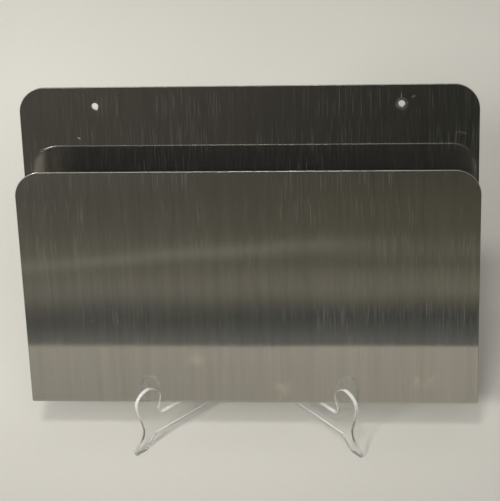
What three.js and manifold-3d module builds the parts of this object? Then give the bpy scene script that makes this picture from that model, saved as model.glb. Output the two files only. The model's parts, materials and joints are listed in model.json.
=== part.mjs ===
// Brochure rack on a table easel: a pocket folded from one sheet of brushed stainless steel,
// standing on an easel bent from one sheet of clear acrylic.
// Millimetres. +X right, +Y back, +Z up. The origin is on the table, in the middle of the footprint.

import * as THREE from 'three';
import * as BufferGeometryUtils from 'three/addons/utils/BufferGeometryUtils.js';
import Module from 'manifold-3d';

const wasm = await Module();
wasm.setup();

// ---------- driving dimensions: the folded pocket, in its own upright frame ----------
// Its origin is the middle of the fold line where the back panel's front face would meet the underside.

const SHEET = 1.5; // steel thickness
const WIDTH = 356;
const BACK_HEIGHT = 252;
const FRONT_HEIGHT = 195;
const POCKET_BOTTOM = 31; // clear depth between the panels, at the underside
const POCKET_TOP = 36.5; // clear depth at the front panel's top edge
const BEND_INSIDE = 2.5; // inside radius of both folds
const CORNER_RADIUS = 20; // the four rounded top corners
const HOLE_RADIUS = 2.5; // hanging holes in the back panel
const HOLE_OUT = 118.5; // from the middle to each hole
const HOLE_DOWN = 15; // from the top edge to the holes

// ---------- driving dimensions: the easel, with the middle of its two front tips as origin ----------

const ACRYLIC = 3;
const LEAN = THREE.MathUtils.degToRad(15); // how far the pocket leans back
const WING_ANGLE = THREE.MathUtils.degToRad(45); // between each wing and the Y axis, seen from above
const TIP_SPAN = 182; // between the wings' mid-planes at the tips
const FOLD_INSIDE = 3; // inside radius of the fold that joins the wings
const FOOT_LENGTH = 11; // flat front foot under each wing
const REAR_FOOT_LENGTH = 14; // flat rear foot beside the fold
const TOE_ROUND = 0.8; // on the front foot's bottom corner
const TOE_HEIGHT = 3.6; // upright front of the foot
const ARCH_HEIGHT = 10; // of the level underside between the feet
const ARCH_RUN = 13; // length of the curve that climbs from a foot to the underside
const LEDGE_START = 30.5; // from the tip along the wing to where the scroll meets the level ledge
const NOTCH_RADIUS = 2; // in the corner that takes the pocket's back fold
const SPINE_HEIGHT = 110; // of the wings' level top edges beside the fold
const CREST_RADIUS = 10; // where the back edge turns into the top edge
const POCKET_RIGHT = 3; // the loose pocket stands this far right of the easel's middle
const POCKET_BACK = 52; // from the tips back to the pocket's origin
const POCKET_UP = 29; // from the table up to the pocket's origin
const GAP = 0.3; // left between the pocket and the edges that it rests on

// ---------- how finely round shapes are stepped ----------

const BEND_STEPS = 10;
const CORNER_STEPS = 14;
const HOLE_STEPS = 40;
const CURVE_STEPS = 14;
const REACH = 10; // how far a cutting solid runs past what it cuts

// ---------- worked out from them ----------

const BEND_OUTSIDE = BEND_INSIDE + SHEET;
const FLARE = Math.atan((POCKET_TOP - POCKET_BOTTOM) / FRONT_HEIGHT); // of the front panel

const up = new THREE.Vector3(0, 0, 1);
const right = new THREE.Vector3(1, 0, 0);
const back = new THREE.Vector3(0, 1, 0);

// ---------- helpers ----------

function solidOf(geometry) {
  const bare = geometry.clone();
  bare.deleteAttribute('normal');
  bare.deleteAttribute('uv');
  const merged = BufferGeometryUtils.mergeVertices(bare, 1e-4);
  const mesh = new wasm.Mesh({
    numProp: 3,
    vertProperties: new Float32Array(merged.attributes.position.array),
    triVerts: new Uint32Array(merged.index.array),
  });
  return new wasm.Manifold(mesh);
}

function geometryOf(solid) {
  const mesh = solid.getMesh();
  const geometry = new THREE.BufferGeometry();
  geometry.setAttribute('position', new THREE.BufferAttribute(mesh.vertProperties, 3));
  geometry.setIndex(new THREE.BufferAttribute(mesh.triVerts, 1));
  return geometry;
}

// Extrudes a shape by depth, centred on its own plane, and lays its x and y along the given directions.
function prism(shape, depth, curveSegments, xTo, yTo, origin = new THREE.Vector3()) {
  const geometry = new THREE.ExtrudeGeometry(shape, { depth, curveSegments, bevelEnabled: false });
  geometry.translate(0, 0, -depth / 2);
  const depthTo = new THREE.Vector3().crossVectors(xTo, yTo);
  geometry.applyMatrix4(new THREE.Matrix4().makeBasis(xTo, yTo, depthTo).setPosition(origin));
  return solidOf(geometry);
}

// ---------- the pocket ----------

// The sheet seen end on, in the YZ plane: back panel, two folds, underside and flared front panel.
function sheetSection() {
  const backFold = new THREE.Vector2(-BEND_INSIDE, BEND_OUTSIDE);
  const frontFold = new THREE.Vector2(
    -POCKET_BOTTOM + (BEND_INSIDE - BEND_OUTSIDE * Math.sin(FLARE)) / Math.cos(FLARE),
    BEND_OUTSIDE,
  );
  const climb = new THREE.Vector2(-Math.sin(FLARE), Math.cos(FLARE)); // up the front panel
  const outward = new THREE.Vector2(-Math.cos(FLARE), -Math.sin(FLARE)); // out of its front face
  const frontRise = (FRONT_HEIGHT - BEND_OUTSIDE) / Math.cos(FLARE);
  const innerTop = frontFold.clone().addScaledVector(outward, BEND_INSIDE).addScaledVector(climb, frontRise);
  const outerTop = frontFold.clone().addScaledVector(outward, BEND_OUTSIDE).addScaledVector(climb, frontRise);
  const frontAngle = Math.PI + FLARE; // where the front fold's arcs meet the front panel

  const section = new THREE.Shape();
  section.moveTo(0, BACK_HEIGHT);
  section.lineTo(0, backFold.y);
  section.absarc(backFold.x, backFold.y, BEND_INSIDE, 0, -Math.PI / 2, true);
  section.absarc(frontFold.x, frontFold.y, BEND_INSIDE, Math.PI * 1.5, frontAngle, true);
  section.lineTo(innerTop.x, innerTop.y);
  section.lineTo(outerTop.x, outerTop.y);
  section.absarc(frontFold.x, frontFold.y, BEND_OUTSIDE, frontAngle, Math.PI * 1.5, false);
  section.absarc(backFold.x, backFold.y, BEND_OUTSIDE, -Math.PI / 2, 0, false);
  section.lineTo(SHEET, BACK_HEIGHT);
  section.closePath();
  return section;
}

// What is trimmed off a panel's top corner: side is -1 on the left and 1 on the right.
function cornerTrim(side, height, origin, panelUp) {
  const inX = side * (WIDTH / 2 - CORNER_RADIUS);
  const outX = side * (WIDTH / 2 + REACH);
  const low = height - CORNER_RADIUS;
  const trim = new THREE.Shape();
  trim.moveTo(outX, low);
  trim.lineTo(outX, height + REACH);
  trim.lineTo(inX, height + REACH);
  trim.lineTo(inX, height);
  trim.absarc(inX, low, CORNER_RADIUS, Math.PI / 2, side > 0 ? 0 : Math.PI, side > 0);
  trim.closePath();
  return prism(trim, 2 * REACH, CORNER_STEPS, right, panelUp, origin);
}

function hangingHole(side) {
  const circle = new THREE.Shape();
  circle.absarc(side * HOLE_OUT, BACK_HEIGHT - HOLE_DOWN, HOLE_RADIUS, 0, Math.PI * 2, false);
  return prism(circle, 2 * REACH, HOLE_STEPS, right, up);
}

function pocketGeometry() {
  let solid = prism(sheetSection(), WIDTH, BEND_STEPS, back, up);
  const frontOrigin = new THREE.Vector3(0, -POCKET_BOTTOM, 0);
  const frontUp = new THREE.Vector3(0, -Math.sin(FLARE), Math.cos(FLARE));
  const frontLength = BEND_OUTSIDE + (FRONT_HEIGHT - BEND_OUTSIDE) / Math.cos(FLARE);
  for (const side of [-1, 1]) {
    solid = solid.subtract(cornerTrim(side, BACK_HEIGHT, new THREE.Vector3(), up));
    solid = solid.subtract(cornerTrim(side, frontLength, frontOrigin, frontUp));
    solid = solid.subtract(hangingHole(side));
  }
  return geometryOf(solid);
}

// ---------- the easel ----------

const FOLD_MIDDLE = FOLD_INSIDE + ACRYLIC / 2;
const CORNER_BACK = TIP_SPAN / 2 / Math.tan(WING_ANGLE); // where the two mid-planes cross
const FOLD_CENTRE = CORNER_BACK - FOLD_MIDDLE / Math.sin(WING_ANGLE);
const CREST = // along a wing from its tip to the middle of the fold
  (TIP_SPAN / 2) * Math.sin(WING_ANGLE) + (FOLD_CENTRE + FOLD_MIDDLE) * Math.cos(WING_ANGLE);
// A cut edge is square to its wing, so one rim of it stands nearer the pocket than the mid-plane does.
const RIM = (ACRYLIC / 2) * Math.sin(WING_ANGLE);

// The pocket's back fold stands on the ledges.
const LEDGE_HEIGHT = POCKET_UP + BEND_OUTSIDE * (Math.cos(LEAN) - 1) + BEND_INSIDE * Math.sin(LEAN) - GAP;

// Distance along the wing of the edge behind the pocket's back panel, at a height above the table.
function backEdge(height) {
  const depth = POCKET_BACK + (SHEET + GAP) / Math.cos(LEAN) + (height - POCKET_UP) * Math.tan(LEAN) + RIM;
  return depth / Math.cos(WING_ANGLE);
}

// One wing's outline: distance along the wing from its tip, and height above the table.
function wingOutline() {
  const edgeLean = Math.atan(Math.tan(LEAN) / Math.cos(WING_ANGLE)); // back edge, in the wing's plane
  const edgeShift = 1 / Math.cos(edgeLean); // along the wing, for each millimetre square to that edge
  const rearFoot = CREST - REAR_FOOT_LENGTH;
  const notchHeight = LEDGE_HEIGHT + NOTCH_RADIUS;
  const notchAlong = backEdge(notchHeight) - NOTCH_RADIUS * edgeShift;
  const crestHeight = SPINE_HEIGHT - CREST_RADIUS;
  const crestAlong = backEdge(crestHeight) + CREST_RADIUS * edgeShift;

  // The curve from each foot up to the level underside: steep at the foot, flat at its end.
  const climbPull = new THREE.Vector2(ARCH_RUN * 0.35, ARCH_HEIGHT * 0.55);
  const levelPull = ARCH_RUN * 0.55;

  const outline = new THREE.Shape();
  outline.moveTo(0, TOE_ROUND);
  outline.quadraticCurveTo(0, 0, TOE_ROUND, 0);
  outline.lineTo(FOOT_LENGTH, 0);
  outline.bezierCurveTo(
    FOOT_LENGTH + climbPull.x, climbPull.y,
    FOOT_LENGTH + levelPull, ARCH_HEIGHT,
    FOOT_LENGTH + ARCH_RUN, ARCH_HEIGHT,
  );
  outline.lineTo(rearFoot - ARCH_RUN, ARCH_HEIGHT);
  outline.bezierCurveTo(
    rearFoot - levelPull, ARCH_HEIGHT,
    rearFoot - climbPull.x, climbPull.y,
    rearFoot, 0,
  );
  outline.lineTo(CREST + REACH, 0);
  outline.lineTo(CREST + REACH, SPINE_HEIGHT);
  outline.lineTo(crestAlong, SPINE_HEIGHT);
  outline.absarc(crestAlong, crestHeight, CREST_RADIUS, Math.PI / 2, Math.PI - edgeLean, false);
  outline.absarc(notchAlong, notchHeight, NOTCH_RADIUS, -edgeLean, -Math.PI / 2, true);
  outline.lineTo(LEDGE_START, LEDGE_HEIGHT);
  // The scroll in front of the pocket: up its back, over its top, down its front to the neck, then the toe.
  outline.bezierCurveTo(28.8, LEDGE_HEIGHT, 26.4, 31.6, 26.5, 34.4);
  outline.bezierCurveTo(26.6, 37.4, 28.5, 40.2, 29.2, 44.8);
  outline.bezierCurveTo(29.8, 49, 24.5, 58.2, 18, 58.2);
  outline.bezierCurveTo(11.5, 58.2, 5.6, 53.5, 5.3, 47);
  outline.bezierCurveTo(4.9, 40.5, 10.1, 29.5, 10.2, 21);
  outline.bezierCurveTo(10.3, 13, 5, 8.5, 0, TOE_HEIGHT);
  outline.closePath();
  return outline;
}

// The bent sheet seen from above, taller than the easel: two wings joined by the rounded fold.
function foldedBlank() {
  const foldOutside = FOLD_INSIDE + ACRYLIC;
  const wing = new THREE.Vector2(Math.sin(WING_ANGLE), -Math.cos(WING_ANGLE)); // fold to right tip
  const out = new THREE.Vector2(Math.cos(WING_ANGLE), Math.sin(WING_ANGLE)); // out of the V, right side
  const wingLength = TIP_SPAN / 2 / Math.sin(WING_ANGLE) + REACH;
  const centre = new THREE.Vector2(0, FOLD_CENTRE);
  const outerTip = centre.clone().addScaledVector(out, foldOutside).addScaledVector(wing, wingLength);
  const innerTip = centre.clone().addScaledVector(out, FOLD_INSIDE).addScaledVector(wing, wingLength);

  const plan = new THREE.Shape();
  plan.moveTo(outerTip.x, outerTip.y);
  plan.absarc(0, FOLD_CENTRE, foldOutside, WING_ANGLE, Math.PI - WING_ANGLE, false);
  plan.lineTo(-outerTip.x, outerTip.y);
  plan.lineTo(-innerTip.x, innerTip.y);
  plan.absarc(0, FOLD_CENTRE, FOLD_INSIDE, Math.PI - WING_ANGLE, WING_ANGLE, true);
  plan.lineTo(innerTip.x, innerTip.y);
  plan.closePath();
  return prism(plan, 2 * BACK_HEIGHT, BEND_STEPS, right, back);
}

// Everything on one side of the middle, as a solid to cut with.
function halfSpace(side) {
  const size = 2 * TIP_SPAN;
  const box = new THREE.BoxGeometry(size, size, size);
  box.translate((side * size) / 2, 0, 0);
  return solidOf(box);
}

function easelGeometry() {
  const blank = foldedBlank();
  const halves = [-1, 1].map((side) => {
    const along = new THREE.Vector3(-side * Math.sin(WING_ANGLE), Math.cos(WING_ANGLE), 0);
    const tip = new THREE.Vector3((side * TIP_SPAN) / 2, 0, 0);
    const cutter = prism(wingOutline(), 4 * REACH, CURVE_STEPS, along, up, tip);
    return blank.intersect(cutter).intersect(halfSpace(side));
  });
  return geometryOf(halves[0].add(halves[1]));
}

// ---------- assembly ----------

const brushedSteel = new THREE.MeshStandardMaterial({ color: 0x8c8982, roughness: 0.35, metalness: 1 });
const clearAcrylic = new THREE.MeshStandardMaterial({
  color: 0xeaf1f0,
  roughness: 0.05,
  metalness: 0,
  transparent: true,
  opacity: 0.4,
});

const easel = new THREE.Mesh(easelGeometry(), clearAcrylic);
easel.name = 'easel';

const pocket = new THREE.Mesh(pocketGeometry(), brushedSteel);
pocket.name = 'folded_pocket';
pocket.position.set(POCKET_RIGHT, POCKET_BACK, POCKET_UP);
pocket.rotation.x = -LEAN;

const model = new THREE.Group();
model.add(easel, pocket);

// The tips are the easel's origin, so the whole is moved to stand over the middle of its footprint.
const extent = new THREE.Box3().setFromObject(model, true);
const middle = extent.getCenter(new THREE.Vector3());
model.position.set(-middle.x, -middle.y, -extent.min.z);
model.updateMatrixWorld(true);

export default model;
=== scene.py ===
"""Looks of the brochure rack: a folded pocket of brushed stainless steel on a bent clear acrylic easel.

Both are built here as bent sheets: a flat outline with rounded rims, folded by a map from the flat sheet
to the frame. Shapes are worked out in millimetres and turned into metres as each mesh is made.
"""

import json
import math

import bpy
from mathutils import Matrix, Vector
from mathutils.geometry import delaunay_2d_cdt


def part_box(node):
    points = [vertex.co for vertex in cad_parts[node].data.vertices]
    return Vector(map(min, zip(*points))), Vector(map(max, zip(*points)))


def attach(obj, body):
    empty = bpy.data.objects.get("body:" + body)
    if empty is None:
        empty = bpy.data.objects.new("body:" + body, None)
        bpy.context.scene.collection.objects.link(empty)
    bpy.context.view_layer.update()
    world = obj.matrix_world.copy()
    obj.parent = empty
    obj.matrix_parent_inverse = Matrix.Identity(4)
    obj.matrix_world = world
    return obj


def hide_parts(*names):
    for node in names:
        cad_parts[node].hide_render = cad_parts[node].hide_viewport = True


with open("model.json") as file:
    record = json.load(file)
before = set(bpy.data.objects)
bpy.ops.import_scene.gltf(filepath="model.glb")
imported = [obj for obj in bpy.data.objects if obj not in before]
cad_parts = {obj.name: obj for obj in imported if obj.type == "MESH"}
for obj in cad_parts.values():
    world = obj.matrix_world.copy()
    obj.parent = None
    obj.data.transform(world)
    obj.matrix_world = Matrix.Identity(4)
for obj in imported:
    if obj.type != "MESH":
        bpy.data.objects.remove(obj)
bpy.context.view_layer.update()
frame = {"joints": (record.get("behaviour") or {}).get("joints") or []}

MM = 0.001
POCKET = "folded_pocket"
EASEL = "easel"

# ---------- the pocket, in its own upright frame: u is depth, w is height ----------

SHEET = 1.5
WIDTH = 356.0
BACK_HEIGHT = 252.0
FRONT_HEIGHT = 195.0
POCKET_BOTTOM = 31.0
POCKET_TOP = 36.5
BEND_INSIDE = 2.5
CORNER_RADIUS = 20.0
HOLE_RADIUS = 2.5
HOLE_OUT = 118.5
HOLE_DOWN = 15.0
NICK_ANGLE = math.radians(66)  # where the left hole's burr was torn out, down and slightly right
NICK_DEPTH = 1.15
NICK_SPREAD = 0.3
STEEL_RIM = 0.3  # rounding of the sheared edges

# ---------- the easel, with the middle of its two front tips as origin ----------

ACRYLIC = 3.0
TIP_SPAN = 182.0
WING_ANGLE = math.radians(45)
FOLD_INSIDE = 3.0
FOOT_LENGTH = 11.0
REAR_FOOT_LENGTH = 14.0
TOE_ROUND = 0.8
TOE_HEIGHT = 3.6
ARCH_HEIGHT = 10.0
ARCH_RUN = 13.0
LEDGE_START = 30.5
NOTCH_RADIUS = 2.0
SPINE_HEIGHT = 110.0
CREST_RADIUS = 10.0
POCKET_BACK = 52.0
POCKET_UP = 29.0
GAP = 0.3
ACRYLIC_RIM = 0.3
CORNER_EASE = 0.9  # how far each sharp corner of its outline is rounded back

# ---------- fineness ----------

BEND_STEPS = 12
CORNER_STEPS = 28
HOLE_STEPS = 72
CURVE_STEPS = 26
TOE_STEPS = 6
CREST_STEPS = 16
NOTCH_STEPS = 10
RIM_STEPS = 4
POCKET_EDGE_STEP = 8.0  # longest straight piece of the pocket's outline
EASEL_EDGE_STEP = 6.0
POCKET_SPACING = 20.0  # between the points inside its faces
EASEL_SPACING = 10.0
SAME = 1e-4  # points this close on an axis lie on the same line
THINNEST = 1e-3  # a triangle of the outline's hull flatter than this is not part of the sheet

# ---------- worked out from them ----------

LIFT = Vector(frame["joints"][0]["axis"]).normalized()  # up the leaning pocket
LEAN = math.atan2(LIFT.y, LIFT.z)
MIDDLE = SHEET / 2
BEND_OUTSIDE = BEND_INSIDE + SHEET
BEND_MIDDLE = BEND_INSIDE + MIDDLE
FLARE = math.atan((POCKET_TOP - POCKET_BOTTOM) / FRONT_HEIGHT)
FOLD_MIDDLE = FOLD_INSIDE + ACRYLIC / 2
CORNER_BACK = TIP_SPAN / 2 / math.tan(WING_ANGLE)
FOLD_CENTRE = CORNER_BACK - FOLD_MIDDLE / math.sin(WING_ANGLE)
WING_STRAIGHT = (TIP_SPAN / 2 - FOLD_MIDDLE * math.cos(WING_ANGLE)) / math.sin(WING_ANGLE)
CREST = WING_STRAIGHT + FOLD_MIDDLE * math.sin(WING_ANGLE)
RIM = ACRYLIC / 2 * math.sin(WING_ANGLE)
LEDGE_HEIGHT = POCKET_UP + BEND_OUTSIDE * (math.cos(LEAN) - 1) + BEND_INSIDE * math.sin(LEAN) - GAP


# ---------- flat outlines ----------


def arc(centre, radius, start, end, steps):
    """Points on an arc, both ends included, angles in radians."""
    turn = (end - start) / steps
    return [
        Vector((
            centre[0] + radius * math.cos(start + turn * i),
            centre[1] + radius * math.sin(start + turn * i),
        ))
        for i in range(steps + 1)
    ]


def bezier(a, b, c, d, steps=CURVE_STEPS):
    """Points on a cubic, both ends included."""
    made = []
    for i in range(steps + 1):
        t = i / steps
        s = 1 - t
        k = (s * s * s, 3 * s * s * t, 3 * s * t * t, t * t * t)
        made.append(Vector([sum(k[j] * p[n] for j, p in enumerate((a, b, c, d))) for n in (0, 1)]))
    return made


def without_repeats(loop, closest=0.02):
    """Drops the points of a closed loop that lie on the point before them."""
    kept = []
    for p in loop:
        if not kept or (p - kept[-1]).length > closest:
            kept.append(p)
    while (kept[0] - kept[-1]).length <= closest:
        kept.pop()
    return kept


def soften(loop, reach, sharp=math.radians(18), steps=4):
    """Turns every sharp corner of a closed loop into a small round."""
    made = []
    count = len(loop)
    for i, p in enumerate(loop):
        back, ahead = loop[i - 1] - p, loop[(i + 1) % count] - p
        turn = math.pi - back.angle(ahead)
        if turn < sharp:
            made.append(p)
            continue
        a = p + back.normalized() * min(reach, back.length * 0.45)
        b = p + ahead.normalized() * min(reach, ahead.length * 0.45)
        for k in range(steps + 1):
            t = k / steps
            made.append(a * (1 - t) ** 2 + p * 2 * t * (1 - t) + b * t * t)
    return made


def with_stations(loop, axis, values):
    """Adds a point to a closed loop wherever it crosses one of the values on that axis."""
    made = []
    for i, p in enumerate(loop):
        q = loop[(i + 1) % len(loop)]
        made.append(p)
        low, high = sorted((p[axis], q[axis]))
        inside = [v for v in values if low + SAME < v < high - SAME]
        for v in sorted(inside, reverse=q[axis] < p[axis]):
            made.append(p.lerp(q, (v - p[axis]) / (q[axis] - p[axis])))
    return made


def evened(loop, longest):
    """Splits long edges of a closed loop."""
    made = []
    for i, p in enumerate(loop):
        q = loop[(i + 1) % len(loop)]
        parts = max(1, math.ceil((q - p).length / longest))
        made += [p.lerp(q, k / parts) for k in range(parts)]
    return made


def outward(loop):
    """At each point of a loop, the mitred direction out of the sheet.

    Outlines turn left and holes turn right.
    """
    made = []
    count = len(loop)
    for i, p in enumerate(loop):
        before = (p - loop[i - 1]).normalized()
        after = (loop[(i + 1) % count] - p).normalized()
        out = Vector((before.y + after.y, -before.x - after.x)).normalized()
        made.append(out / max(0.7, out.dot(Vector((after.y, -after.x)))))
    return made


def inside(point, loop):
    hit = False
    x, y = point
    for i, p in enumerate(loop):
        q = loop[i - 1]
        if (p.y > y) != (q.y > y) and x < (q.x - p.x) * (y - p.y) / (q.y - p.y) + p.x:
            hit = not hit
    return hit


# ---------- a bent sheet ----------


def spread(loops, spacing):
    """Points of a square grid that lie well inside the outline and clear of its holes and edges."""
    outline, holes = loops[0], loops[1:]
    clear = spacing * 0.45
    across = [p.x for p in outline]
    along = [p.y for p in outline]
    columns = math.floor((max(across) - min(across)) / spacing)
    rows = math.floor((max(along) - min(along)) / spacing)
    near = [p for loop in loops for p in loop]
    made = []
    for i in range(1, columns):
        for j in range(1, rows):
            x = min(across) + (max(across) - min(across)) * i / columns
            y = min(along) + (max(along) - min(along)) * j / rows
            if not inside((x, y), outline) or any(inside((x, y), hole) for hole in holes):
                continue
            if all(abs(p.x - x) > clear or abs(p.y - y) > clear for p in near):
                made.append(Vector((x, y)))
    return made


def bent_sheet(name, loops, fold, thickness, rim, stations, spacing, materials):
    """A sheet with rounded rims. loops are the flat outline and then its holes, and fold(a, b) gives the
    middle surface's point, its normal and the two directions along it. stations is (axis, values): the
    flat lines along which the faces are divided so that they can follow the bends. spacing is between the
    faces' inner points. The flat faces take the first material and the rims the second."""
    axis, values = stations
    rings, verts, normals, flats, depths, faces, kinds = [], [], [], [], [], [], []
    half = thickness / 2
    quarter = [math.pi / 2 * k / RIM_STEPS for k in range(RIM_STEPS + 1)]
    profile = [(rim * (1 - math.sin(t)), half - rim * (1 - math.cos(t)), t) for t in quarter]
    profile += [(inset, -height, math.pi - t) for inset, height, t in reversed(profile)]

    for loop in loops:
        outs = outward(loop)
        around = []
        for inset, height, turn in profile:
            ring = []
            for p, out in zip(loop, outs):
                flat = p - out * inset
                point, normal, along_a, along_b = fold(flat.x, flat.y)
                edge = (along_a * out.x + along_b * out.y).normalized()
                ring.append(len(verts))
                verts.append(point + normal * height)
                normals.append((normal * math.cos(turn) + edge * math.sin(turn)).normalized())
                flats.append(flat)
                depths.append(height)
            around.append(ring)
        rings.append(around)
        count = len(loop)
        for upper, lower in zip(around, around[1:]):
            for i in range(count):
                j = (i + 1) % count
                faces.append((upper[i], lower[i], lower[j], upper[j]))
                kinds.append(1)

    # One face of the sheet: the innermost rings, divided along the stations.
    top = [v for around in rings for v in around[0]]
    to_bottom = {}
    for around in rings:
        to_bottom.update(zip(around[0], around[-1]))
    local = {v: i for i, v in enumerate(top)}
    cuts = []
    for flat in spread(loops, spacing):
        if any(abs(flat[axis] - value) < spacing * 0.2 for value in values):
            continue
        point, normal, _, _ = fold(flat.x, flat.y)
        local[len(verts)] = len(top)
        top.append(len(verts))
        to_bottom[len(verts)] = len(verts) + 1
        verts += [point + normal * half, point - normal * half]
        normals += [normal, -normal]
        flats += [flat, flat]
        depths += [half, -half]
    for around in rings:
        ring = around[0]
        cuts += [(local[ring[i]], local[ring[(i + 1) % len(ring)]]) for i in range(len(ring))]
    for value in values:
        met = []
        for loop, around in zip(loops, rings):
            met += [v for p, v in zip(loop, around[0]) if abs(p[axis] - value) < SAME]
        met.sort(key=lambda v: flats[v][1 - axis])
        cuts += [(local[a], local[b]) for a, b in zip(met[::2], met[1::2])]
    made = delaunay_2d_cdt([flats[v] for v in top], cuts, [], 0, 1e-7, True)
    points, _, triangles, came_from = made[:4]
    if len(points) != len(top):
        near = [tuple(round(c, 2) for c in p) for p, ids in zip(points, came_from) if len(ids) != 1]
        raise RuntimeError(f"{name}: the outline crosses itself or a station at {near[:9]}")
    back_to = [top[ids[0]] for ids in came_from]
    outline, holes = loops[0], loops[1:]
    for triangle in triangles:
        a, b, c = (points[k] for k in triangle)
        middle = (a + b + c) / 3
        longest = max((b - a).length, (c - b).length, (a - c).length)
        if abs((b - a).cross(c - a)) < THINNEST * longest:
            continue
        if inside(middle, outline) and not any(inside(middle, hole) for hole in holes):
            corners = [back_to[k] for k in triangle]
            faces.append(corners)
            faces.append([to_bottom[v] for v in reversed(corners)])
            kinds += [0, 0]

    mesh = bpy.data.meshes.new(name)
    mesh.from_pydata([v * MM for v in verts], [], faces)
    mesh.polygons.foreach_set("material_index", kinds)
    layer = mesh.uv_layers.new(name="sheet")
    through = mesh.uv_layers.new(name="through")
    for loop in mesh.loops:
        layer.data[loop.index].uv = flats[loop.vertex_index] * MM
        through.data[loop.index].uv = (depths[loop.vertex_index] * MM, 0.0)
    for material in materials:
        mesh.materials.append(material)
    mesh.shade_smooth()
    mesh.normals_split_custom_set_from_vertices(normals)
    mesh.validate()
    piece = bpy.data.objects.new(name, mesh)
    bpy.context.scene.collection.objects.link(piece)
    return piece


# ---------- the pocket ----------

pocket_low, pocket_high = (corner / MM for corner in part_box(POCKET))
pocket_origin = Vector((
    (pocket_low.x + pocket_high.x) / 2,
    pocket_high.y - SHEET * math.cos(LEAN) - BACK_HEIGHT * math.sin(LEAN),
    pocket_high.z - BACK_HEIGHT * math.cos(LEAN),
))
FRONT_FOLD_BACK = -POCKET_BOTTOM + (BEND_INSIDE - BEND_OUTSIDE * math.sin(FLARE)) / math.cos(FLARE)
BACK_RUN = BACK_HEIGHT - BEND_OUTSIDE
BACK_TURN = math.pi / 2
BOTTOM_RUN = -BEND_INSIDE - FRONT_FOLD_BACK
FRONT_TURN = math.pi / 2 - FLARE
FRONT_RUN = (FRONT_HEIGHT - BEND_OUTSIDE) / math.cos(FLARE)
BACK_FOLD_END = BACK_RUN + BACK_TURN * BEND_MIDDLE
FRONT_FOLD_START = BACK_FOLD_END + BOTTOM_RUN
FRONT_START = FRONT_FOLD_START + FRONT_TURN * BEND_MIDDLE
SHEET_LENGTH = FRONT_START + FRONT_RUN


def leaning(x, u, w):
    """A point or direction of the pocket's upright frame, turned to its lean."""
    return Vector((
        x,
        u * math.cos(LEAN) + w * math.sin(LEAN),
        w * math.cos(LEAN) - u * math.sin(LEAN),
    ))


def fold_pocket(x, run):
    """The sheet's middle surface, run along it from the back panel's top edge to the front panel's."""
    if run < BACK_RUN:
        turn = 0.0
        u, w = MIDDLE, BACK_HEIGHT - run
    elif run < BACK_FOLD_END:
        turn = (run - BACK_RUN) / BEND_MIDDLE
        u = -BEND_INSIDE + BEND_MIDDLE * math.cos(turn)
        w = BEND_OUTSIDE - BEND_MIDDLE * math.sin(turn)
    elif run < FRONT_FOLD_START:
        turn = BACK_TURN
        u, w = -BEND_INSIDE - (run - BACK_FOLD_END), MIDDLE
    else:
        turn = BACK_TURN + min((run - FRONT_FOLD_START) / BEND_MIDDLE, FRONT_TURN)
        beyond = max(0.0, run - FRONT_START)
        u = FRONT_FOLD_BACK + BEND_MIDDLE * math.cos(turn) - beyond * math.sin(FLARE)
        w = BEND_OUTSIDE - BEND_MIDDLE * math.sin(turn) + beyond * math.cos(FLARE)
    point = pocket_origin + leaning(x, u, w)
    normal = leaning(0, math.cos(turn), -math.sin(turn))
    along = leaning(0, -math.sin(turn), -math.cos(turn))
    return point, normal, Vector((1, 0, 0)), along


def pocket_outline():
    side = WIDTH / 2 - CORNER_RADIUS
    far = SHEET_LENGTH - CORNER_RADIUS
    quarter = math.pi / 2
    corners = ((side, CORNER_RADIUS, -1), (side, far, 0), (-side, far, 1), (-side, CORNER_RADIUS, 2))
    loop = []
    for x, run, k in corners:
        loop += arc((x, run), CORNER_RADIUS, k * quarter, (k + 1) * quarter, CORNER_STEPS)
    return loop


def hole_outline(x, nick):
    """Turns right, as a hole does. nick is how far a torn burr has taken the edge out."""
    loop = []
    for k in range(HOLE_STEPS):
        angle = -2 * math.pi * k / HOLE_STEPS
        off = (angle - NICK_ANGLE + math.pi) % (2 * math.pi) - math.pi
        reach = HOLE_RADIUS + nick * math.exp(-abs(off / NICK_SPREAD) ** 1.5)
        loop.append(Vector((x + reach * math.cos(angle), HOLE_DOWN + reach * math.sin(angle))))
    return loop


def steps_between(start, end, steps):
    return [start + (end - start) * k / steps for k in range(steps + 1)]


bend_lines = steps_between(BACK_RUN, BACK_FOLD_END, BEND_STEPS)
bend_lines += steps_between(FRONT_FOLD_START, FRONT_START, BEND_STEPS)


# ---------- the easel ----------

easel_low, easel_high = (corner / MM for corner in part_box(EASEL))
easel_origin = Vector(((easel_low.x + easel_high.x) / 2, easel_low.y + RIM, easel_low.z))
EASEL_TURN = math.pi / 2 - WING_ANGLE
EASEL_BEND = FOLD_MIDDLE * EASEL_TURN
EASEL_HALF = EASEL_BEND + WING_STRAIGHT


def fold_easel(along, height):
    """The sheet's middle surface: along runs from the left tip through the fold at 0 to the right tip."""
    turn = max(-EASEL_TURN, min(EASEL_TURN, along / FOLD_MIDDLE))
    forward = Vector((math.cos(turn), -math.sin(turn), 0))
    out = Vector((math.sin(turn), math.cos(turn), 0))
    straight = along - turn * FOLD_MIDDLE
    up = Vector((0, 0, 1))
    fold_at = Vector((0, FOLD_CENTRE, height))
    point = easel_origin + fold_at + out * FOLD_MIDDLE + forward * straight
    return point, -out, forward, up


def back_edge(height):
    """How far along a wing its edge behind the pocket's back panel lies."""
    reach = POCKET_BACK + (SHEET + GAP) / math.cos(LEAN) + (height - POCKET_UP) * math.tan(LEAN) + RIM
    return reach / math.cos(WING_ANGLE)


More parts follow.
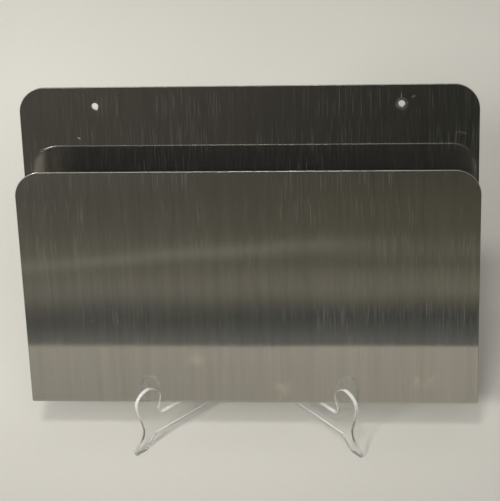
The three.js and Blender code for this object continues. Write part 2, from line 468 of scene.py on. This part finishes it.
def wing_outline():
    """Half the flat easel, from the fold's foot along the underside to the tip and back over the top."""
    edge_lean = math.atan(math.tan(LEAN) / math.cos(WING_ANGLE))
    edge_shift = 1 / math.cos(edge_lean)
    rear_foot = CREST - REAR_FOOT_LENGTH
    notch_height = LEDGE_HEIGHT + NOTCH_RADIUS
    notch = back_edge(notch_height) - NOTCH_RADIUS * edge_shift
    crest_height = SPINE_HEIGHT - CREST_RADIUS
    crest_along = back_edge(crest_height) + CREST_RADIUS * edge_shift
    steep = (ARCH_RUN * 0.35, ARCH_HEIGHT * 0.55)
    level = ARCH_RUN * 0.55

    under = bezier((0, TOE_ROUND), (0, TOE_ROUND / 3), (TOE_ROUND / 3, 0), (TOE_ROUND, 0), TOE_STEPS)
    under += bezier(
        (FOOT_LENGTH, 0),
        (FOOT_LENGTH + steep[0], steep[1]),
        (FOOT_LENGTH + level, ARCH_HEIGHT),
        (FOOT_LENGTH + ARCH_RUN, ARCH_HEIGHT),
    )
    under += bezier(
        (rear_foot - ARCH_RUN, ARCH_HEIGHT),
        (rear_foot - level, ARCH_HEIGHT),
        (rear_foot - steep[0], steep[1]),
        (rear_foot, 0),
    )
    under.append(Vector((CREST, 0)))

    over = [Vector((CREST, SPINE_HEIGHT))]
    over += arc((crest_along, crest_height), CREST_RADIUS, math.pi / 2, math.pi - edge_lean, CREST_STEPS)
    over += arc((notch, notch_height), NOTCH_RADIUS, -edge_lean, -math.pi / 2, NOTCH_STEPS)
    # The scroll in front of the pocket: up its back, over its top, down its front to the neck, then the toe.
    over += bezier((LEDGE_START, LEDGE_HEIGHT), (28.8, LEDGE_HEIGHT), (26.4, 31.6), (26.5, 34.4))
    over += bezier((26.5, 34.4), (26.6, 37.4), (28.5, 40.2), (29.2, 44.8))
    over += bezier((29.2, 44.8), (29.8, 49), (24.5, 58.2), (18, 58.2))
    over += bezier((18, 58.2), (11.5, 58.2), (5.6, 53.5), (5.3, 47))
    over += bezier((5.3, 47), (4.9, 40.5), (10.1, 29.5), (10.2, 21))
    over += bezier((10.2, 21), (10.3, 13), (5, 8.5), (0, TOE_HEIGHT))

    made = []
    for s, height in [*reversed(under), *reversed(over)]:
        if s <= WING_STRAIGHT:
            made.append(Vector((EASEL_HALF - s, height)))
        else:
            short = math.asin(min(1.0, (s - WING_STRAIGHT) / FOLD_MIDDLE))
            made.append(Vector((FOLD_MIDDLE * (EASEL_TURN - short), height)))
    return made


def easel_outline():
    right = wing_outline()
    left = [Vector((-p.x, p.y)) for p in reversed(right)]
    return soften(without_repeats(right + left), CORNER_EASE)


easel_lines = steps_between(-EASEL_BEND, EASEL_BEND, 2 * BEND_STEPS)


# ---------- materials ----------


class Nodes:
    """A short way to write a node tree."""

    def __init__(self, tree):
        self.tree = tree
        tree.nodes.clear()

    def add(self, kind, inputs=(), **settings):
        node = self.tree.nodes.new(kind)
        for key, value in settings.items():
            setattr(node, key, value)
        for key, value in dict(inputs).items():
            self.set(node.inputs[key], value)
        return node

    def set(self, socket, value):
        if isinstance(value, bpy.types.NodeSocket):
            self.tree.links.new(value, socket)
        else:
            socket.default_value = value

    def maths(self, operation, a, b=0.0, c=0.0):
        return self.add("ShaderNodeMath", {0: a, 1: b, 2: c}, operation=operation).outputs[0]

    def noise(self, vector, scale=1.0, detail=2.0, rough=0.5):
        found = self.add(
            "ShaderNodeTexNoise",
            {"Vector": vector, "Scale": scale, "Detail": detail, "Roughness": rough},
        )
        return found.outputs[0]

    def scaled(self, vector, factors):
        return self.add("ShaderNodeVectorMath", {0: vector, 1: factors}, operation="MULTIPLY").outputs[0]

    def between(self, value, low, high, to_low=0.0, to_high=1.0, smooth=False):
        found = self.add(
            "ShaderNodeMapRange",
            {"Value": value, "From Min": low, "From Max": high, "To Min": to_low, "To Max": to_high},
            interpolation_type="SMOOTHSTEP" if smooth else "LINEAR",
            clamp=True,
        )
        return found.outputs[0]

    def mixed(self, factor, first, second):
        return self.add("ShaderNodeMix", {0: factor, 2: first, 3: second}).outputs[0]

    def tint(self, factor, first, second):
        """Mixes two colours, each of them a socket or three numbers."""
        ends = [c if isinstance(c, bpy.types.NodeSocket) else (*c, 1) for c in (first, second)]
        found = self.add("ShaderNodeMix", {0: factor, 6: ends[0], 7: ends[1]}, data_type="RGBA")
        return found.outputs[2]

    def parts(self, vector):
        return self.add("ShaderNodeSeparateXYZ", {0: vector}).outputs

    def millimetres(self, layer):
        """A UV layer, which holds metres, in millimetres."""
        flat = self.add("ShaderNodeUVMap", uv_map=layer).outputs[0]
        return self.scaled(flat, (1 / MM, 1 / MM, 1 / MM))

    def patch(self, where, centre, halves, turn=0.0, soft=0.5):
        """1 inside an ellipse round the centre, easing to 0 at its edge."""
        moved = self.add("ShaderNodeVectorMath", {0: where, 1: (*centre, 0.0)}, operation="SUBTRACT")
        turned = self.add(
            "ShaderNodeVectorRotate",
            {"Vector": moved.outputs[0], "Angle": math.radians(turn)},
            rotation_type="Z_AXIS",
        )
        flat = self.scaled(turned.outputs[0], (1.0 / halves[0], 1.0 / halves[1], 0.0))
        away = self.add("ShaderNodeVectorMath", {0: flat}, operation="LENGTH").outputs["Value"]
        return self.between(away, soft, 1.0, 1.0, 0.0, smooth=True)

    def ramp(self, value, stops):
        node = self.add("ShaderNodeValToRGB", {0: value})
        elements = node.color_ramp.elements
        while len(elements) < len(stops):
            elements.new(1.0)
        for element, (at, colour) in zip(elements, stops):
            element.position = at
            element.color = (*colour, 1)
        return node.outputs[0]

    def surface(self, inputs):
        """Ends the tree with one principled shader."""
        shader = self.add("ShaderNodeBsdfPrincipled", inputs)
        self.add("ShaderNodeOutputMaterial", {"Surface": shader.outputs[0]})


# Marks left by handling, as (across, run down the sheet, half width, half length, turn in degrees, strength).
MARKS = (
    (-132.5, 40.5, 0.45, 1.7, 55, 0.6),
    (118.3, 8.7, 0.35, 3.2, 2, 0.2),
    (127.5, 9.5, 1.2, 2.2, -60, 0.08),
    (160.5, 38.0, 0.4, 2.4, -40, 0.1),
    (165.5, 38.5, 0.4, 4.6, 75, 0.1),
    (-126.0, 352.0, 0.4, 3.0, 80, 0.07),
    (151.0, 336.0, 0.4, 2.5, 84, 0.07),
)
# Greasy touches on the front panel, as (across, run down the sheet, half width, half length).
SMUDGES = ((-43.0, 318.0, 12.0, 9.0), (135.0, 303.0, 18.0, 12.0), (24.0, 296.0, 10.0, 16.0))
# Scuffed steel round the holes, as (across, strength).
BURRS = ((-HOLE_OUT, 0.04), (HOLE_OUT, 0.24))
BURR_REACH = 6.0


def material(name):
    made = bpy.data.materials.new(name)
    made.use_nodes = True
    return made, Nodes(made.node_tree)


def handling_marks(n, across):
    """How strongly each spot of the steel is scratched or scuffed."""
    marks = 0.0
    for x, run, half_width, half_length, turn, strength in MARKS:
        found = n.patch(across, (x, run), (half_width, half_length), turn)
        marks = n.maths("MULTIPLY_ADD", found, strength, marks)
    burr_spread = n.noise(n.scaled(across, (1.1, 1.1, 1.0)), detail=3.0)
    burr = n.between(burr_spread, 0.42, 0.6, smooth=True)
    for x, strength in BURRS:
        ring = n.patch(across, (x, HOLE_DOWN), (BURR_REACH, BURR_REACH), soft=0.4)
        marks = n.maths("MULTIPLY_ADD", n.maths("MULTIPLY", ring, burr), strength, marks)
    return marks


def greasy_touches(n, across):
    """1 where a smudge is at its thickest."""
    smear = n.noise(n.scaled(across, (0.11, 0.07, 1.0)), detail=4.0)
    touched = 0.0
    for x, run, half_width, half_length in SMUDGES:
        found = n.patch(across, (x, run), (half_width, half_length), soft=0.0)
        touched = n.maths("ADD", found, touched)
    return n.maths("MULTIPLY", touched, n.between(smear, 0.45, 0.6, smooth=True))


def brushed_steel():
    """Grain runs along the sheet's length, so its gloss is sharp along the grain and wide across it."""
    made, n = material("brushed_stainless_steel")
    across = n.millimetres("sheet")  # x over the width, y along the sheet
    fine = n.noise(n.scaled(across, (4.5, 0.03, 1.0)), detail=3.0)
    medium = n.noise(n.scaled(across, (1.4, 0.012, 1.0)), detail=2.0)
    broad = n.noise(n.scaled(across, (0.16, 0.004, 1.0)), detail=2.0)
    cloud = n.noise(n.scaled(across, (0.016, 0.012, 1.0)), detail=3.0)
    long_scratch = n.noise(n.scaled(across, (1.3, 0.035, 1.0)), detail=1.0)
    grouped = n.noise(n.scaled(across, (0.02, 0.012, 1.0)), detail=2.0)
    scratch = n.maths(
        "MULTIPLY",
        n.between(long_scratch, 0.56, 0.68, smooth=True),
        n.between(grouped, 0.38, 0.56, 0.3, 1.0),
    )
    marks = handling_marks(n, across)
    touched = greasy_touches(n, across)

    grain = n.maths("ADD", n.maths("MULTIPLY", fine, 0.5), n.maths("MULTIPLY", medium, 0.5))
    tone = n.maths("ADD", n.maths("MULTIPLY", grain, 0.6), n.maths("MULTIPLY", broad, 0.4))
    metal = n.tint(n.between(tone, 0.32, 0.68), (0.44, 0.432, 0.405), (0.56, 0.55, 0.52))
    greasy = n.maths("MULTIPLY", touched, 0.5)
    colour = n.tint(greasy, metal, (0.66, 0.655, 0.54))
    gloss = n.between(cloud, 0.35, 0.65, 0.043, 0.054)
    scratched = n.maths("MULTIPLY_ADD", scratch, 0.05, gloss)
    rough = n.maths("MULTIPLY_ADD", touched, 0.04, scratched)
    dull = n.maths("MULTIPLY_ADD", scratch, 0.045, n.maths("MULTIPLY_ADD", touched, 0.03, marks))
    height = n.maths("ADD", n.maths("MULTIPLY", fine, 0.35), n.maths("MULTIPLY", medium, 0.65))
    bump = n.add("ShaderNodeBump", {"Height": height, "Strength": 1.0, "Distance": 0.000024})
    wave = n.noise(n.scaled(across, (0.009, 0.006, 1.0)), detail=1.0)
    waved = n.add(
        "ShaderNodeBump",
        {"Height": wave, "Strength": 1.0, "Distance": 0.0001, "Normal": bump.outputs[0]},
    )
    # The folds turn about the width, so that direction suits every face.
    width_way = n.add("ShaderNodeCombineXYZ", {0: 1.0})
    tangent = n.add(
        "ShaderNodeVectorTransform",
        {0: width_way.outputs[0]},
        vector_type="VECTOR",
        convert_from="OBJECT",
        convert_to="WORLD",
    )
    n.surface({
        "Base Color": colour,
        "Metallic": n.maths("SUBTRACT", 0.975, dull),
        "Roughness": rough,
        "Anisotropic": 1.0,
        "Normal": waved.outputs[0],
        "Tangent": tangent.outputs[0],
    })
    return made


def cut_steel():
    """The sheared rim of the sheet, deburred by hand: darker and duller than the faces."""
    made, n = material("cut_steel_edge")
    nibble = n.noise(n.scaled(n.millimetres("sheet"), (1.6, 1.6, 1.0)), detail=4.0)
    bump = n.add("ShaderNodeBump", {"Height": nibble, "Strength": 0.4, "Distance": 0.00005})
    n.surface({
        "Base Color": n.tint(n.between(nibble, 0.3, 0.7), (0.3, 0.294, 0.28), (0.4, 0.394, 0.375)),
        "Metallic": 1.0,
        "Roughness": n.between(nibble, 0.3, 0.7, 0.26, 0.38),
        "Normal": bump.outputs[0],
    })
    return made


def acrylic_inputs(n, where, low_rough, high_rough, ripple):
    """What the faces and the edge share. ripple is the height of their waves in metres."""
    wave = n.noise(n.scaled(where, (0.35, 0.35, 1.0)), detail=2.0)
    smear = n.noise(n.scaled(where, (0.12, 0.05, 1.0)), detail=4.0)
    bump = n.add("ShaderNodeBump", {"Height": wave, "Strength": 1.0, "Distance": ripple})
    return {
        "Base Color": n.tint(smear, (0.965, 0.98, 0.975), (0.985, 0.992, 0.99)),
        "IOR": 1.49,
        "Roughness": n.between(smear, 0.4, 0.65, low_rough, high_rough),
        "Normal": bump.outputs[0],
    }


def acrylic_face():
    """The polished faces, so clear that only a small share of the light meets them."""
    made, n = material("clear_acrylic_face")
    inputs = acrylic_inputs(n, n.millimetres("sheet"), 0.0, 0.03, 0.00001)
    inputs["Transmission Weight"] = 1.0
    inputs["Alpha"] = 0.16
    n.surface(inputs)
    return made


# Stretches of the easel's edge in millimetres, each as (where it begins, where it is complete).
SCROLL_FROM_TIP = (24.4, 18.4)
# By height: where the painted highlight on the edge grows, on the scrolls and at the feet.
SCROLL_HIGHLIGHT_HEIGHT = (28.0, 37.0)
FOOT_HIGHLIGHT_HEIGHT = (15.0, 9.0)
LEDGE_FROM_HEIGHT = (13.0, 13.5)
BEHIND_SCROLL_FROM_TIP = (31.0, 30.0)
# Where the painted dark line, standing for shade, lies on the edge: at the necks and at the start of the
# arches.
NECK_FROM_TIP = (15.0, 14.0)
NECK_BOTTOM = (8.0, 13.0)
NECK_TOP = (28.0, 22.0)
ARCH_FRONT = (10.9, 11.2)
ARCH_BACK = (22.0, 18.0)
PAINTED_SHADE_EDGE = (0.09, 0.095, 0.09)


def acrylic_edge():
    """The sawn edge, with light painted into it: a painted highlight, white and diffuse, on the scrolls, at
    the feet, on the ledges and along one rim of the edge; and a painted dark line standing for shade at the
    necks and where the arches begin.
    """
    made, n = material("clear_acrylic_edge")
    where = n.millimetres("sheet")
    inputs = acrylic_inputs(n, where, 0.06, 0.14, 0.00003)
    along, height, _ = n.parts(where)
    from_tip = n.maths("SUBTRACT", EASEL_HALF, n.maths("ABSOLUTE", along))
    depth = n.parts(n.millimetres("through"))[0]  # through the sheet, 0 in its middle
    scroll = n.between(from_tip, *SCROLL_FROM_TIP)
    ledge = n.between(height, *LEDGE_FROM_HEIGHT)

    # Painted highlight: the edge is made white and diffuse where it would catch the light. That is high on
    # the scrolls, a little at the feet, on the ledges, and along one rim of the edge elsewhere.
    scroll_highlight = n.between(height, *SCROLL_HIGHLIGHT_HEIGHT, 0.0, 0.55, smooth=True)
    foot_highlight = n.between(height, *FOOT_HIGHLIGHT_HEIGHT, 0.0, 0.1)
    front_highlight = n.maths("ADD", scroll_highlight, foot_highlight)
    behind_scroll = n.maths("MULTIPLY", ledge, n.between(from_tip, *BEHIND_SCROLL_FROM_TIP))
    front_rim = n.between(depth, 0.2, 0.8, 0.15, 1.0)
    upright = n.mixed(behind_scroll, 1.0, front_rim)
    back_corner = n.between(depth, -0.75, -1.0, 0.0, 0.85)
    rest_highlight = n.mixed(ledge, back_corner, n.maths("MULTIPLY", upright, 0.6))
    painted_highlight = n.mixed(scroll, rest_highlight, front_highlight)
    grit = n.noise(n.scaled(where, (0.7, 0.7, 1.0)), detail=4.0)
    patchy = n.between(grit, 0.35, 0.6, 0.8, 1.0)

    # Painted shade: a dark line on the near half of the edge at the necks, and on the front rim where the
    # arches begin.
    near_half = n.between(depth, -0.2, 0.1)
    neck = n.maths("MULTIPLY", n.between(height, *NECK_BOTTOM), n.between(height, *NECK_TOP))
    neck = n.maths("MULTIPLY", n.maths("MULTIPLY", neck, near_half), n.between(from_tip, *NECK_FROM_TIP))
    arch = n.maths("MULTIPLY", n.between(from_tip, *ARCH_FRONT), n.between(from_tip, *ARCH_BACK))
    arch = n.maths("MULTIPLY", arch, n.maths("SUBTRACT", 1.0, ledge))
    arch = n.maths("MULTIPLY", arch, n.between(depth, 0.6, 0.9))
    painted_shade = n.maths("MAXIMUM", neck, arch)

    solid = n.maths("MAXIMUM", scroll, n.maths("MULTIPLY", ledge, upright))
    met = n.maths("MAXIMUM", solid, n.between(painted_highlight, 0.0, 0.8, 0.3, 1.0))
    # Less transmission under the painted highlight, so the edge shows white there.
    inputs["Transmission Weight"] = n.maths("SUBTRACT", 1.0, n.maths("MULTIPLY", painted_highlight, patchy))
    # The painted shade turns the edge's colour dark at the necks and where the arches begin.
    inputs["Base Color"] = n.tint(painted_shade, inputs["Base Color"], PAINTED_SHADE_EDGE)
    inputs["Alpha"] = n.maths("MAXIMUM", met, painted_shade)
    n.surface(inputs)
    return made


# ---------- pieces ----------

pocket = bent_sheet(
    "brushed_pocket",
    [
        with_stations(evened(without_repeats(pocket_outline()), POCKET_EDGE_STEP), 1, bend_lines),
        hole_outline(-HOLE_OUT, NICK_DEPTH),
        hole_outline(HOLE_OUT, 0.0),
    ],
    fold_pocket,
    SHEET,
    STEEL_RIM,
    (1, bend_lines),
    POCKET_SPACING,
    [brushed_steel(), cut_steel()],
)
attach(pocket, "pocket")
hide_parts(POCKET)

easel = bent_sheet(
    "acrylic_easel",
    [with_stations(evened(easel_outline(), EASEL_EDGE_STEP), 0, easel_lines)],
    fold_easel,
    ACRYLIC,
    ACRYLIC_RIM,
    (0, easel_lines),
    EASEL_SPACING,
    [acrylic_face(), acrylic_edge()],
)
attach(easel, "easel")
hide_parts(EASEL)


# ---------- floor ----------

FLOOR_DROP = 0.0003  # the floor lies just under the feet
TABLE_FRONT = -0.479  # where the table ends, as the steel sees it


def floor_material(name, left_share, right_share):
    """Pale table with light painted into its colour: darker towards the front and lighter towards the back,
    and lighter on one side than the other. Each of the two factors, left then right, says how much of its
    tone it keeps there.
    """
    made, n = material(name)
    where = n.add("ShaderNodeTexCoord").outputs["Object"]
    speck = n.noise(n.scaled(where, (220.0, 220.0, 220.0)), detail=4.0)
    cloud = n.noise(n.scaled(where, (4.0, 4.0, 4.0)), detail=3.0)
    tone = n.maths("ADD", n.maths("MULTIPLY", speck, 0.4), n.maths("MULTIPLY", cloud, 0.6))
    parts = n.parts(where)
    # Painted light: the tone darkens towards the front and grows lighter towards the back.
    pale_painted_falloff = n.ramp(n.between(parts[1], -0.15, 0.55), [
        (0.0, (0.51, 0.496, 0.47)),
        (0.26, (0.67, 0.655, 0.615)),
        (0.5, (0.71, 0.694, 0.65)),
        (1.0, (0.87, 0.853, 0.8)),
    ])
    mottle = n.between(tone, 0.3, 0.7, 0.975, 1.025)
    # Painted light: one side of the table is painted lighter than the other.
    rightward = n.between(parts[0], -0.3, 0.3)
    painted_side_light = n.tint(rightward, left_share, right_share)
    colour = n.scaled(n.scaled(pale_painted_falloff, mottle), painted_side_light)
    n.surface({"Base Color": colour, "Roughness": 0.6, "Specular IOR Level": 0.0})
    return made


def plane(name, low, high, height, surface):
    mesh = bpy.data.meshes.new(name)
    corners = [(low[0], low[1]), (high[0], low[1]), (high[0], high[1]), (low[0], high[1])]
    mesh.from_pydata([(x, y, height) for x, y in corners], [], [(0, 1, 2, 3)])
    mesh.materials.append(surface)
    made = bpy.data.objects.new(name, mesh)
    bpy.context.scene.collection.objects.link(made)
    return made


# The floor is painted lighter on the left and darker on the right, as painted falloff of the light from the
# left.
floor = plane(
    "floor",
    (-12, -12),
    (12, 12),
    -FLOOR_DROP,
    floor_material("pale_table_painted_light", (1.09, 1.09, 1.08), (0.89, 0.89, 0.88)),
)
floor.visible_glossy = False  # the steel sees the table below instead, which ends in front of it
# This table is painted darker on the left than on the right, evening out what the light from the left puts on
# it.
table = plane(
    "table_in_reflections",
    (-6, TABLE_FRONT),
    (6, 8),
    -FLOOR_DROP * 0.6,
    floor_material("reflected_table_painted_light", (0.72, 0.705, 0.655), (0.86, 0.842, 0.775)),
)
table.visible_camera = False
table.visible_diffuse = False
table.visible_transmission = False
table.visible_shadow = False


# ---------- the room, as light from each direction ----------


def room():
    world = bpy.data.worlds.new("studio")
    bpy.context.scene.world = world
    world.use_nodes = True
    n = Nodes(world.node_tree)
    way = n.add("ShaderNodeTexCoord").outputs["Generated"]
    across, away, rise = n.parts(way)
    height = n.between(rise, -1.0, 1.0)

    def at(degrees):
        """Where a direction this far above the horizon falls on the ramps."""
        return (math.sin(math.radians(degrees)) + 1) / 2

    above = [
        (at(12), (0.25, 0.245, 0.23)),
        (at(27), (0.75, 0.74, 0.71)),
        (at(60), (0.75, 0.74, 0.71)),
        (at(70), (0.45, 0.444, 0.43)),
        (at(90), (0.45, 0.444, 0.43)),
    ]
    left = n.ramp(height, [
        (at(-90), (0.06, 0.06, 0.057)),
        (at(-10.75), (0.27, 0.262, 0.247)),
        (at(-10.2), (0.155, 0.157, 0.148)),
        (at(-9.8), (0.078, 0.084, 0.076)),
        (at(-9.5), (0.052, 0.057, 0.051)),
        (at(-9.37), (0.26, 0.242, 0.205)),
        (at(-8.7), (0.275, 0.256, 0.213)),
        (at(-8.1), (0.185, 0.173, 0.137)),
        (at(-7.6), (0.21, 0.197, 0.155)),
        (at(-7.0), (0.16, 0.148, 0.118)),
        (at(-5.6), (0.128, 0.116, 0.095)),
        (at(-4.4), (0.15, 0.138, 0.12)),
        (at(-1.0), (0.1, 0.084, 0.071)),
        (at(4), (0.112, 0.098, 0.084)),
    ] + above)
    right = n.ramp(height, [
        (at(-90), (0.06, 0.06, 0.057)),
        (at(-10.75), (0.2, 0.2, 0.187)),
        (at(-10.2), (0.1, 0.104, 0.096)),
        (at(-9.8), (0.049, 0.055, 0.05)),
        (at(-9.5), (0.039, 0.044, 0.039)),
        (at(-9.37), (0.27, 0.252, 0.193)),
        (at(-8.7), (0.258, 0.24, 0.187)),
        (at(-8.1), (0.172, 0.161, 0.116)),
        (at(-7.6), (0.183, 0.172, 0.126)),
        (at(-7.0), (0.125, 0.118, 0.08)),
        (at(-5.6), (0.1, 0.093, 0.06)),
        (at(-4.4), (0.06, 0.055, 0.044)),
        (at(-1.0), (0.013, 0.015, 0.009)),
        (at(4), (0.018, 0.018, 0.011)),
    ] + above)
    around = n.ramp(height, [
        (at(-90), (0.3, 0.296, 0.285)),
        (at(-5), (0.4, 0.395, 0.375)),
        (at(15), (0.34, 0.335, 0.32)),
        (at(60), (0.28, 0.276, 0.265)),
        (at(70), (0.45, 0.444, 0.43)),
        (at(90), (0.45, 0.444, 0.43)),
    ])
    front = n.tint(n.between(across, -0.24, 0.06, smooth=True), left, right)
    # A bright shelf edge that slopes a little, on the left, and a dark gap under it, on the right.
    sloped = n.maths("MULTIPLY_ADD", across, -0.061, rise)
    off_line = n.maths("ABSOLUTE", n.maths("ADD", sloped, 0.126))
    line = n.between(off_line, 0.0008, 0.0034, 0.75, 0.0, smooth=True)
    shelf_edge = n.maths("MULTIPLY", line, n.between(across, -0.06, 0.0, 1.0, 0.0))
    front = n.tint(shelf_edge, front, (0.4, 0.39, 0.34))
    off_gap = n.maths("ABSOLUTE", n.maths("ADD", rise, 0.1385))
    gap = n.between(off_gap, 0.0006, 0.0024, 0.42, 0.0, smooth=True)
    under_shelf = n.maths("MULTIPLY", gap, n.between(across, -0.16, -0.04))
    front = n.tint(under_shelf, front, (0.06, 0.06, 0.045))
    colour = n.tint(n.between(away, -0.35, -0.75, smooth=True), around, front)
    light = n.add("ShaderNodeBackground", {"Color": colour, "Strength": 0.8})
    n.add("ShaderNodeOutputWorld", {"Surface": light.outputs[0]})


LAMP_WHITE = (1.0, 0.985, 0.95)
LAMP_AIM = Vector((0, 0, 0.1))


def softbox(name, place, size, power):
    lamp = bpy.data.lights.new(name, "AREA")
    lamp.shape = "RECTANGLE"
    lamp.size, lamp.size_y = size
    lamp.energy = power
    lamp.color = LAMP_WHITE
    made = bpy.data.objects.new(name, lamp)
    made.location = place
    made.rotation_mode = "QUATERNION"
    made.rotation_quaternion = (LAMP_AIM - Vector(place)).to_track_quat("-Z", "Y")
    bpy.context.scene.collection.objects.link(made)
    return made


room()
ceiling = softbox("bright_ceiling", (0, -1.92, 1.71), (2.4, 1.4), 18.5)
ceiling.visible_glossy = False  # seen head on it would wash the steel out
softbox("key", (-1.15, -1.84, 1.35), (0.42, 0.42), 36.0)
softbox("overhead", (-0.11, -1.25, 2.27), (0.3, 0.3), 17.0)


# ---------- camera ----------

CAMERA_AT = (0.1095, -1.0629, 0.8859)
CAMERA_PITCH = math.radians(34.21)
CAMERA_YAW = math.radians(-5.82)
CAMERA_ROLL = math.radians(3.39)
CAMERA_LENS = 119.7


def add_camera():
    """Looks forward along +Y, turned by the pitch, yaw and roll above."""
    data = bpy.data.cameras.new("camera")
    data.lens = CAMERA_LENS
    data.sensor_width = 36.0
    data.clip_start = 0.05
    data.clip_end = 50.0
    forward = Vector((
        math.sin(CAMERA_YAW) * math.cos(CAMERA_PITCH),
        math.cos(CAMERA_YAW) * math.cos(CAMERA_PITCH),
        -math.sin(CAMERA_PITCH),
    ))
    level = Vector((math.cos(CAMERA_YAW), -math.sin(CAMERA_YAW), 0))
    down = forward.cross(level)
    right = level * math.cos(CAMERA_ROLL) + down * math.sin(CAMERA_ROLL)
    up = level * math.sin(CAMERA_ROLL) - down * math.cos(CAMERA_ROLL)
    made = bpy.data.objects.new("camera", data)
    made.matrix_world = Matrix.Translation(CAMERA_AT) @ Matrix((right, up, -forward)).transposed().to_4x4()
    bpy.context.scene.collection.objects.link(made)
    bpy.context.scene.camera = made


add_camera()
bpy.context.scene.view_settings.view_transform = "Standard"
